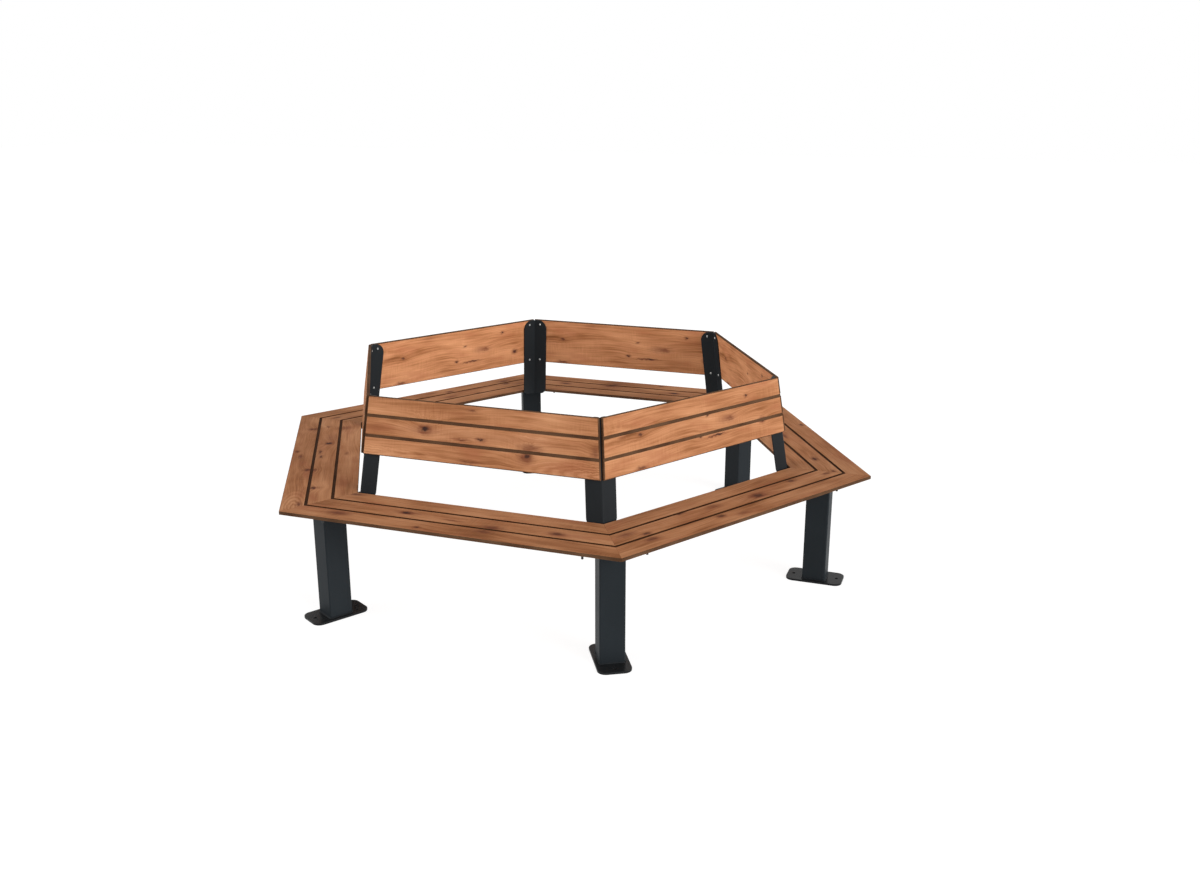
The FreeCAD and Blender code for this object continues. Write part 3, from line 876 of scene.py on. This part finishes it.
@dataclass(frozen=True)
class Board:
    """One board of the ring, swept from its cross-section along a side."""

    name: str
    section: BoardSection
    place: Place
    half_length: Callable[[float, float], float]
    sheets: tuple[Sheet, Sheet]
    groove: Core

    def shell(self) -> bmesh.types.BMesh:
        """The board's mesh, with its sheet coordinates in metres.

        Returns:
            The new mesh.
        """
        shell = bmesh.new()
        flat = shell.loops.layers.uv.new(SHEET_MAP)
        cuts = self.section.end_cuts()
        columns = [(-1, *cut) for cut in reversed(cuts)] + [(1, *cut) for cut in cuts]
        rows = []
        for station in self.section.stations():
            half = self.half_length(station.out, station.up)
            row = []
            for side, setback, depth in columns:
                back_depth = depth if self.section.back_eased else 0.0
                out = min(max(station.out, back_depth), self.section.thickness - depth)
                along = side * (half - setback)
                row.append((shell.verts.new(self.place(out, along, station.up)), along))
            rows.append((station, row))
        for index, (station, row) in enumerate(rows):
            after, after_row = rows[(index + 1) % len(rows)]
            mirror = -1.0 if station.face is Face.BACK else 1.0
            for column in range(len(columns) - 1):
                ends_here = columns[column][0] == columns[column + 1][0]
                corners = (row[column], row[column + 1], after_row[column + 1], after_row[column])
                strip = shell.faces.new([vertex for vertex, along in corners])
                strip.material_index = Face.EDGE.value if ends_here else station.face.value
                strip.smooth = ends_here or self.is_round(station, after)
                heights = (station.up, station.up, after.up, after.up)
                for loop, (vertex, along), up in zip(strip.loops, corners, heights):
                    loop[flat].uv = (mirror * along, up)
        for end in (0, -1):
            cap = shell.faces.new([row[end][0] for station, row in rows])
            cap.material_index = Face.EDGE.value
            for loop, (station, row) in zip(cap.loops, rows):
                loop[flat].uv = (station.out, station.up)
        bmesh.ops.remove_doubles(shell, verts=shell.verts, dist=SAME_POINT)
        bmesh.ops.recalc_face_normals(shell, faces=shell.faces)
        return shell

    def is_round(self, first: Station, second: Station) -> bool:
        """Whether the strip between two stations belongs to an eased edge."""
        return first.out != second.out and first.up != second.up

    def build(self, finishes: Finishes) -> bpy.types.Object:
        """Makes the board as a piece of the scene.

        Args:
            finishes: the materials by sheet and core.

        Returns:
            The new piece.
        """
        piece = settle(self.shell(), self.name)
        for cut in (*self.sheets, Core.EDGE, self.groove):
            piece.data.materials.append(finishes[cut])
        return piece


def side_turn(side: int) -> Matrix:
    """Turn from the frame of a side, with its outward normal on +X, to its place in the ring."""
    return Matrix.Rotation(HALF_STEP + (side - 1) * CORNER_STEP, 4, "Z")


def ride(piece: bpy.types.Object, slot: str, *nodes: str) -> None:
    """Fixes a piece to the bench.

    Args:
        piece: the piece.
        slot: not used.
        *nodes: the frame's nodes that it stands for.
    """
    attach(piece, BODY)
    if nodes:
        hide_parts(*nodes)


@dataclass(frozen=True)
class BoardRing:
    """A ring of six boards. sheets are the front and back faces of each, groove what its grooves show."""

    title: str
    section: BoardSection
    sheets: Sequence[tuple[Sheet, Sheet]]
    groove: Core

    def place(self, side: int) -> Place:
        """Map from a board's own measures to the ring, for one side."""
        raise NotImplementedError

    def half_length(self, out: float, up: float) -> float:
        """Half the length of a board where its cross-section is at a point."""
        raise NotImplementedError

    def build(self, finishes: Finishes) -> None:
        """Builds the six boards.

        Args:
            finishes: the board materials.
        """
        for side, sheets in enumerate(self.sheets, start=1):
            name = f"{self.title}_board_{side}"
            place = self.place(side)
            board = Board(name, self.section, place, self.half_length, sheets, self.groove)
            ride(board.build(finishes), f"{self.title}_board", f"{self.title}_panel_{side}")


@dataclass(frozen=True)
class Seat(BoardRing):
    """The ring of six mitred seat boards."""

    title: str = "seat"
    section: BoardSection = BoardSection(0.270, 0.012, (0.083, 0.083), back_eased=False, ends_eased=False)
    sheets: Sequence[tuple[Sheet, Sheet]] = (
        (Sheet.SEAT_FAR, Sheet.PLAIN),
        (Sheet.SEAT_FRONT, Sheet.PLAIN),
        (Sheet.SEAT_RIGHT, Sheet.PLAIN),
        (Sheet.SEAT_LEFT, Sheet.PLAIN),
        (Sheet.SEAT_FRONT, Sheet.PLAIN),
        (Sheet.SEAT_RIGHT, Sheet.PLAIN),
    )
    groove: Core = Core.SEAT_GROOVE_PAINTED_SHADE
    top: float = 0.450
    inner_apothem: float = 0.833
    mitre_gap: float = 0.0004

    def place(self, side: int) -> Place:
        """Map from a board's own measures to the ring.

        Args:
            side: the board's side.

        Returns:
            The map from out, along and up to a point.
        """
        turn = side_turn(side)
        base = self.top - self.section.thickness
        return lambda out, along, up: turn @ Vector((self.inner_apothem + up, along, base + out))

    def half_length(self, out: float, up: float) -> float:
        """Half the length of a board where its cross-section is at a point."""
        gap = self.mitre_gap / 2 / math.cos(HALF_STEP)
        return (self.inner_apothem + up) * math.tan(HALF_STEP) - gap


@dataclass(frozen=True)
class Backrest(BoardRing):
    """The ring of six boards that lean in towards the tree."""

    title: str = "back"
    section: BoardSection = BoardSection(0.216, 0.012, (0.0647, 0.0652), ease=0.0032)
    sheets: Sequence[tuple[Sheet, Sheet]] = (
        # Each board's back is its inner face and takes the cloud print lightened as painted light.
        (Sheet.BACK_STREAK, Sheet.BACK_INNER_PAINTED_LIGHT),
        (Sheet.BACK_CLOUD, Sheet.BACK_INNER_WIDE_PAINTED_LIGHT),
        *((Sheet.BACK_STREAK, Sheet.BACK_INNER_PAINTED_LIGHT), (Sheet.BACK_CLOUD, Sheet.BACK_INNER_PAINTED_LIGHT)) * 2,
    )
    groove: Core = Core.EDGE
    bottom: float = 0.596
    bottom_apothem: float = 0.8135
    lean: float = math.radians(8.5)
    end_gap: float = 0.0082

    def place(self, side: int) -> Place:
        """Map from a board's own measures to the ring.

        Args:
            side: the board's side.

        Returns:
            The map from out, along and up to a point.
        """
        foot = Matrix.Translation((self.bottom_apothem, 0.0, self.bottom))
        turn = side_turn(side) @ foot @ Matrix.Rotation(-self.lean, 4, "Y")
        return lambda out, along, up: turn @ Vector((out - self.section.thickness, along, up))

    def half_length(self, out: float, up: float) -> float:
        """Half the length of a board where its cross-section is at a point."""
        apothem = self.bottom_apothem - up * math.sin(self.lean)
        return apothem * math.tan(HALF_STEP) - self.end_gap


# Steelwork

@dataclass(frozen=True)
class EasedEdges:
    """Sharp edges of a steel part, taken off on a copy of it.

    Faces that turn less than level are one face, edges that turn more than sharp are eased. Mesh edges
    shorter than sliver go before the easing, and those shorter than thin after it.
    """

    width: float = 0.0006
    steps: int = 2
    round_profile: float = 0.5
    sharp: float = math.radians(40)
    level: float = math.radians(0.3)
    sliver: float = 5e-5
    thin: float = 5e-6

    def copy(self, node: bpy.types.Object, name: str) -> bpy.types.Object:
        """Copies a part with its edges eased.

        Args:
            node: the part.
            name: the copy's name.

        Returns:
            The new piece.
        """
        shell = bmesh.new()
        shell.from_mesh(node.data)
        shell.transform(node.matrix_world)
        bmesh.ops.remove_doubles(shell, verts=shell.verts, dist=SAME_POINT)
        skin = BVHTree.FromBMesh(shell)
        bmesh.ops.dissolve_degenerate(shell, dist=self.sliver, edges=shell.edges)
        bmesh.ops.dissolve_limit(shell, angle_limit=self.level, verts=shell.verts, edges=shell.edges)
        edges = [edge for edge in shell.edges if edge.is_manifold and edge.calc_face_angle() > self.sharp]
        sizes = {"offset": self.width, "segments": self.steps, "profile": self.round_profile}
        bmesh.ops.bevel(shell, geom=edges, affect="EDGES", **sizes)
        # A corner that the bevel pushed out goes back to the part's own skin
        for vert in shell.verts:
            spot, outwards, _, _ = skin.find_nearest(vert.co)
            if (vert.co - spot).dot(outwards) > self.thin:
                vert.co = spot
        bmesh.ops.dissolve_degenerate(shell, dist=self.thin, edges=shell.edges)
        for face in shell.faces:
            face.smooth = True
        piece = settle(shell, name)
        piece.modifiers.new("weighted_normals", "WEIGHTED_NORMAL").keep_sharp = True
        return piece


class Lay(Enum):
    """On which side of the level face a weld lies, as the way from that face."""

    ABOVE = 1.0
    BELOW = -1.0


@dataclass(frozen=True)
class WeldBead:
    """A rippled fillet weld in the corner between an upright face and a level one.

    bulge and ripple_depth are shares of its width, ripple and bury are lengths, and ripple_bow is how far
    a ripple bows along the weld, as a share of its length.
    """

    width: float
    bulge: float = 0.35
    ripple: float = 0.0036
    ripple_depth: float = 0.12
    ripple_bow: float = 0.3
    bury: float = 0.0003
    steps: int = 5
    points_per_ripple: int = 4

    def offset(self, run: float, across: float) -> Range:
        """Place of the bead's skin off the corner.

        Args:
            run: length along the weld.
            across: 0 at the level face, 1 at the upright one.

        Returns:
            Distance out from the upright face and distance off the level one.
        """
        angle = across * QUARTER_TURN
        crescent = self.ripple_bow * self.ripple * (2 * across - 1) ** 2
        phase = math.pi * (run + crescent) / self.ripple
        reach = self.width * (1 - self.ripple_depth * (1 - abs(math.cos(phase))))
        out = 1 - across + self.bulge * (math.cos(angle) - 1 + across)
        off = across + self.bulge * (math.sin(angle) - across)
        return reach * out - self.bury, reach * off - self.bury

    def spaced(self, length: float) -> int:
        """How many steps a run of this length takes."""
        return max(1, round(length / self.ripple * self.points_per_ripple))

    def build(self, name: str, path: Path, lay: Lay, closed: bool) -> bpy.types.Object:
        """Lays the bead along a path.

        Args:
            name: the piece's name.
            path: points of the corner with the level direction off the upright face at each.
            lay: the side of the level face.
            closed: whether the path's end meets its start.

        Returns:
            The new piece.
        """
        shell = bmesh.new()
        rows = []
        run = 0.0
        before = path[0][0]
        for point, outwards in path:
            run += (point - before).length
            before = point
            section = [self.offset(run, step / self.steps) for step in range(self.steps + 1)]
            section.append((-self.bury, -self.bury))
            offsets = [outwards * out + Vector((0.0, 0.0, lay.value * off)) for out, off in section]
            rows.append([shell.verts.new(point + offset) for offset in offsets])
        following = rows[1:] + rows[:1] if closed else rows[1:]
        for first, second in zip(rows, following):
            for step in range(-1, self.steps + 1):
                strip = (first[step], second[step], second[step + 1], first[step + 1])
                shell.faces.new(strip).smooth = 0 <= step < self.steps
        if not closed:
            shell.faces.new(rows[0])
            shell.faces.new(rows[-1])
        bmesh.ops.recalc_face_normals(shell, faces=shell.faces)
        return settle(shell, name)


@dataclass(frozen=True)
class SteelKind:
    """A kind of steel part: its nodes' name, its finish, and the name of its eased copies if any."""

    node: str
    finish: Union[PowderCoat, BareSteel]
    copied_as: str = ""


@dataclass(frozen=True)
class Steelwork:
    """The steel parts, each kind with its finish, and the welds between them.

    leg_radius and fold_radius are measured from the middle of the ring, leg_corner and fold_bend are the
    radii of the roundings, and tongue_reach is how far the tongue's weld goes along a wing.
    """

    kinds: tuple[SteelKind, ...] = (
        SteelKind("back_support", PowderCoat("support_coat", (0.0160, 0.0188, 0.0212)), "support_sheet"),
        SteelKind("leg_tube", PowderCoat("leg_coat", (0.0170, 0.0214, 0.0250), roughness=0.54)),
        SteelKind(
            "base_plate",
            PowderCoat("base_coat", (0.0150, 0.0162, 0.0175), roughness=0.25, specular=0.09),
            "foot_plate",
        ),
        SteelKind("leg_top_plate", PowderCoat("top_plate_coat", (0.0150, 0.0165, 0.0175)), "head_plate"),
        SteelKind("back_screws", BareSteel("screw_plating", (0.42, 0.42, 0.41), 0.42)),
        # Studs and nuts sit under the seat; their near-black steel is painted shade.
        SteelKind("seat_studs", BareSteel("stud_steel_painted_shade", (0.022, 0.022, 0.023), 0.55, metallic=0.3)),
        SteelKind("seat_nuts", BareSteel("nut_steel_painted_shade", (0.028, 0.028, 0.029), 0.5, metallic=0.3)),
    )
    weld_coat: PowderCoat = PowderCoat("weld_coat", (0.0155, 0.0180, 0.0205), peel_height=0.0002)
    weld_slot: str = "leg_coat"
    leg_radius: float = 1.081866
    leg_faces: int = 4
    leg_half: float = 0.045
    leg_corner: float = 0.006
    foot_height: float = 0.008
    head_height: float = 0.432
    fold_radius: float = 0.95364
    fold_bend: float = 0.010
    tongue_reach: float = 0.041
    leg_bead: WeldBead = WeldBead(0.0042)
    tongue_bead: WeldBead = WeldBead(0.0022)
    eased: EasedEdges = EasedEdges()

    def leg_path(self, corner: int, height: float) -> Path:
        """Path round a leg tube, anticlockwise from above.

        Args:
            corner: the leg's number.
            height: the path's height.

        Returns:
            Points round the tube with the direction off its faces at each.
        """
        turn = Matrix.Rotation((corner - 1) * CORNER_STEP, 3, "Z")
        middle = Vector((self.leg_radius, 0.0, height))
        flat = self.leg_half - self.leg_corner
        flat_steps = self.leg_bead.spaced(2 * flat)
        round_steps = self.leg_bead.spaced(QUARTER_TURN * self.leg_corner)
        path = []
        for face in range(self.leg_faces):
            quarter = Matrix.Rotation(face * QUARTER_TURN, 3, "Z")
            outwards = quarter @ Vector((1.0, 0.0, 0.0))
            for step in range(flat_steps):
                spot = quarter @ Vector((self.leg_half, flat * (2 * step / flat_steps - 1), 0.0))
                path.append((middle + spot, outwards))
            for step in range(round_steps):
                angle = QUARTER_TURN * step / round_steps
                outwards = quarter @ Vector((math.cos(angle), math.sin(angle), 0.0))
                spot = quarter @ Vector((flat, flat, 0.0)) + outwards * self.leg_corner
                path.append((middle + spot, outwards))
        return [(turn @ point, turn @ outwards) for point, outwards in path]

    def tongue_path(self, corner: int) -> Path:
        """Path along both wings of a back support and round its fold, under the top plate's tongue.

        Args:
            corner: the support's number.

        Returns:
            Points along the support with the direction off its outer side at each.
        """
        turn = Matrix.Rotation((corner - 1) * CORNER_STEP, 3, "Z")
        fold = Vector((self.fold_radius, 0.0, self.head_height))
        centre = fold - Vector((self.fold_bend / math.cos(HALF_STEP), 0.0, 0.0))
        straight = self.tongue_reach - self.fold_bend * math.tan(HALF_STEP)
        straight_steps = self.tongue_bead.spaced(straight)
        round_steps = self.tongue_bead.spaced(CORNER_STEP * self.fold_bend)
        bend = []
        for step in range(round_steps + 1):
            angle = CORNER_STEP * step / round_steps - HALF_STEP
            outwards = Vector((math.cos(angle), math.sin(angle), 0.0))
            bend.append((centre + outwards * self.fold_bend, outwards))
        wings = []
        for wing, (start, outwards) in ((-1, bend[0]), (1, bend[-1])):
            ahead = Vector((-math.sin(HALF_STEP), wing * math.cos(HALF_STEP), 0.0))
            stride = ahead * straight / straight_steps
            wings.append([(start + stride * step, outwards) for step in range(1, straight_steps + 1)])
        path = wings[0][::-1] + bend + wings[1]
        return [(turn @ point, turn @ outwards) for point, outwards in path]

    def dress(self, nodes: dict[str, bpy.types.Object]) -> None:
        """Gives each steel part its finish, on an eased copy where the kind has one.

        Args:
            nodes: the frame's nodes by name.
        """
        for kind in self.kinds:
            material = kind.finish.material()
            for name in sorted(name for name in nodes if name.startswith(kind.node)):
                if kind.copied_as:
                    piece = self.eased.copy(nodes[name], name.replace(kind.node, kind.copied_as))
                    piece.data.materials.append(material)
                    ride(piece, kind.finish.name, name)
                    continue
                for slot in nodes[name].material_slots:
                    slot.material = material
                LOG.info("%s: %s", name, kind.finish.name)

    def weld(self) -> None:
        """Lays the welds at the legs' feet and heads and at the back supports."""
        material = self.weld_coat.material()
        for corner in range(1, SIDES + 1):
            foot, head = (self.leg_path(corner, height) for height in (self.foot_height, self.head_height))
            pieces = (
                self.leg_bead.build(f"foot_weld_{corner}", foot, Lay.ABOVE, True),
                self.leg_bead.build(f"head_weld_{corner}", head, Lay.BELOW, True),
                self.tongue_bead.build(f"tongue_weld_{corner}", self.tongue_path(corner), Lay.BELOW, False),
            )
            for piece in pieces:
                piece.data.materials.append(material)
                ride(piece, self.weld_slot)


# Studio

@dataclass(frozen=True)
class Sun:
    """A soft distant lamp, with angles in degrees. heading is where it stands, anticlockwise from +X."""

    name: str
    heading: float
    elevation: float
    strength: float
    softness: float

    def build(self) -> None:
        """Adds the lamp."""
        lamp = bpy.data.lights.new(self.name, "SUN")
        lamp.energy = self.strength
        lamp.angle = math.radians(self.softness)
        holder = bpy.data.objects.new(self.name, lamp)
        heading, elevation = math.radians(self.heading), math.radians(self.elevation)
        flat = math.cos(elevation)
        towards = Vector((flat * math.cos(heading), flat * math.sin(heading), math.sin(elevation)))
        holder.rotation_mode = "QUATERNION"
        holder.rotation_quaternion = towards.to_track_quat("Z", "Y")
        bpy.context.scene.collection.objects.link(holder)


@dataclass(frozen=True)
class Camera:
    """The camera at the photograph's place, with angles in degrees and its lens in millimetres.

    azimuth is where it stands, anticlockwise from -Y, and heading where it looks, anticlockwise from +Y.
    """

    azimuth: float = 21.678766938
    distance: float = 4.682894756
    height: float = 1.873210808
    heading: float = 19.743746
    pitch: float = -16.747724
    lens: float = 35.0
    sensor: float = 36.0
    nearest: float = 0.05
    farthest: float = 200.0

    def build(self) -> None:
        """Adds the camera and makes it the scene's own."""
        camera = bpy.data.cameras.new("camera")
        camera.lens = self.lens
        camera.sensor_width = self.sensor
        camera.sensor_fit = "HORIZONTAL"
        camera.clip_start = self.nearest
        camera.clip_end = self.farthest
        holder = bpy.data.objects.new("camera", camera)
        azimuth = math.radians(self.azimuth)
        spot = (self.distance * math.sin(azimuth), -self.distance * math.cos(azimuth), self.height)
        level = QUARTER_TURN + math.radians(self.pitch)
        turn = Matrix.Rotation(math.radians(self.heading), 4, "Z") @ Matrix.Rotation(level, 4, "X")
        holder.matrix_world = Matrix.Translation(spot) @ turn
        bpy.context.scene.collection.objects.link(holder)
        bpy.context.scene.camera = holder


@dataclass(frozen=True)
class Studio:
    """A white studio: pale floor, soft lamps and an even sky."""

    floor_half: float = 30.0
    floor_cells: int = 8
    floor_height: float = -0.0002
    floor_colour: Colour = (0.86, 0.86, 0.86)
    floor_seen_colour: Colour = (0.32, 0.32, 0.32)
    floor_roughness: float = 0.9
    floor_glow: float = 0.86
    sky_light: float = 0.40
    suns: tuple[Sun, ...] = (
        Sun("key_lamp", heading=340.0, elevation=12.0, strength=2.7, softness=40.0),
        Sun("fill_lamp", heading=211.0, elevation=12.0, strength=1.60, softness=60.0),
    )
    camera: Camera = Camera()

    def seen(self, graph: Graph) -> Socket:
        """Tells what is seen from light that falls on surfaces.

        Args:
            graph: the graph to add it to.

        Returns:
            1 for what the camera sees straight, mirrored or through glass, else 0.
        """
        path = graph.add("ShaderNodeLightPath")
        straight = graph.math("MAXIMUM", path.outputs["Is Camera Ray"], path.outputs["Is Glossy Ray"])
        return graph.math("MAXIMUM", straight, path.outputs["Is Transmission Ray"])

    def sky(self) -> None:
        """Sets the world: white where it is seen, and dimmer as light."""
        world = bpy.data.worlds.new("studio")
        world.use_nodes = True
        bpy.context.scene.world = world
        graph = Graph(world.node_tree)
        background = world.node_tree.nodes["Background"]
        graph.feed(background.inputs["Color"], opaque(WHITE))
        light = graph.math("MULTIPLY_ADD", self.seen(graph), 1.0 - self.sky_light, self.sky_light)
        graph.feed(background.inputs["Strength"], light)

    def floor(self) -> None:
        """Adds the floor, pale with a glow that lifts it to white where it is seen."""
        shell = bmesh.new()
        level = Matrix.Translation((0.0, 0.0, self.floor_height))
        cells = {"x_segments": self.floor_cells, "y_segments": self.floor_cells}
        bmesh.ops.create_grid(shell, size=self.floor_half, matrix=level, **cells)
        floor = settle(shell, "floor")
        graph = Surface("floor")
        seen = self.seen(graph)
        material = graph.finish(
            {
                "Base Color": graph.blend(seen, self.floor_colour, self.floor_seen_colour),
                "Roughness": self.floor_roughness,
                "Specular IOR Level": 0.0,
                "Emission Color": opaque(WHITE),
                "Emission Strength": graph.math("MULTIPLY", seen, self.floor_glow),
            }
        )
        floor.data.materials.append(material)

    def build(self) -> None:
        """Builds the studio and the camera, and sets the plain view transform."""
        self.sky()
        self.floor()
        for sun in self.suns:
            sun.build()
        self.camera.build()
        bpy.context.scene.view_settings.view_transform = "Standard"


def corners(box: tuple[Vector, Vector]) -> list[list[float]]:
    """A box as plain lists of numbers."""
    return [list(box[0]), list(box[1])]


def main() -> None:
    """Builds the bench's looks and the studio around the frame."""
    logging.basicConfig(level=logging.INFO, format="%(name)s: %(message)s")
    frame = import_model()
    decor = WoodDecor()
    finishes = {sheet: decor.material(sheet) for sheet in Sheet}
    finishes.update({core: core.value.material() for core in Core})
    Seat().build(finishes)
    Backrest().build(finishes)
    steelwork = Steelwork()
    steelwork.dress(frame["nodes"])
    steelwork.weld()
    Studio().build()


if __name__ == "__main__":
    main()
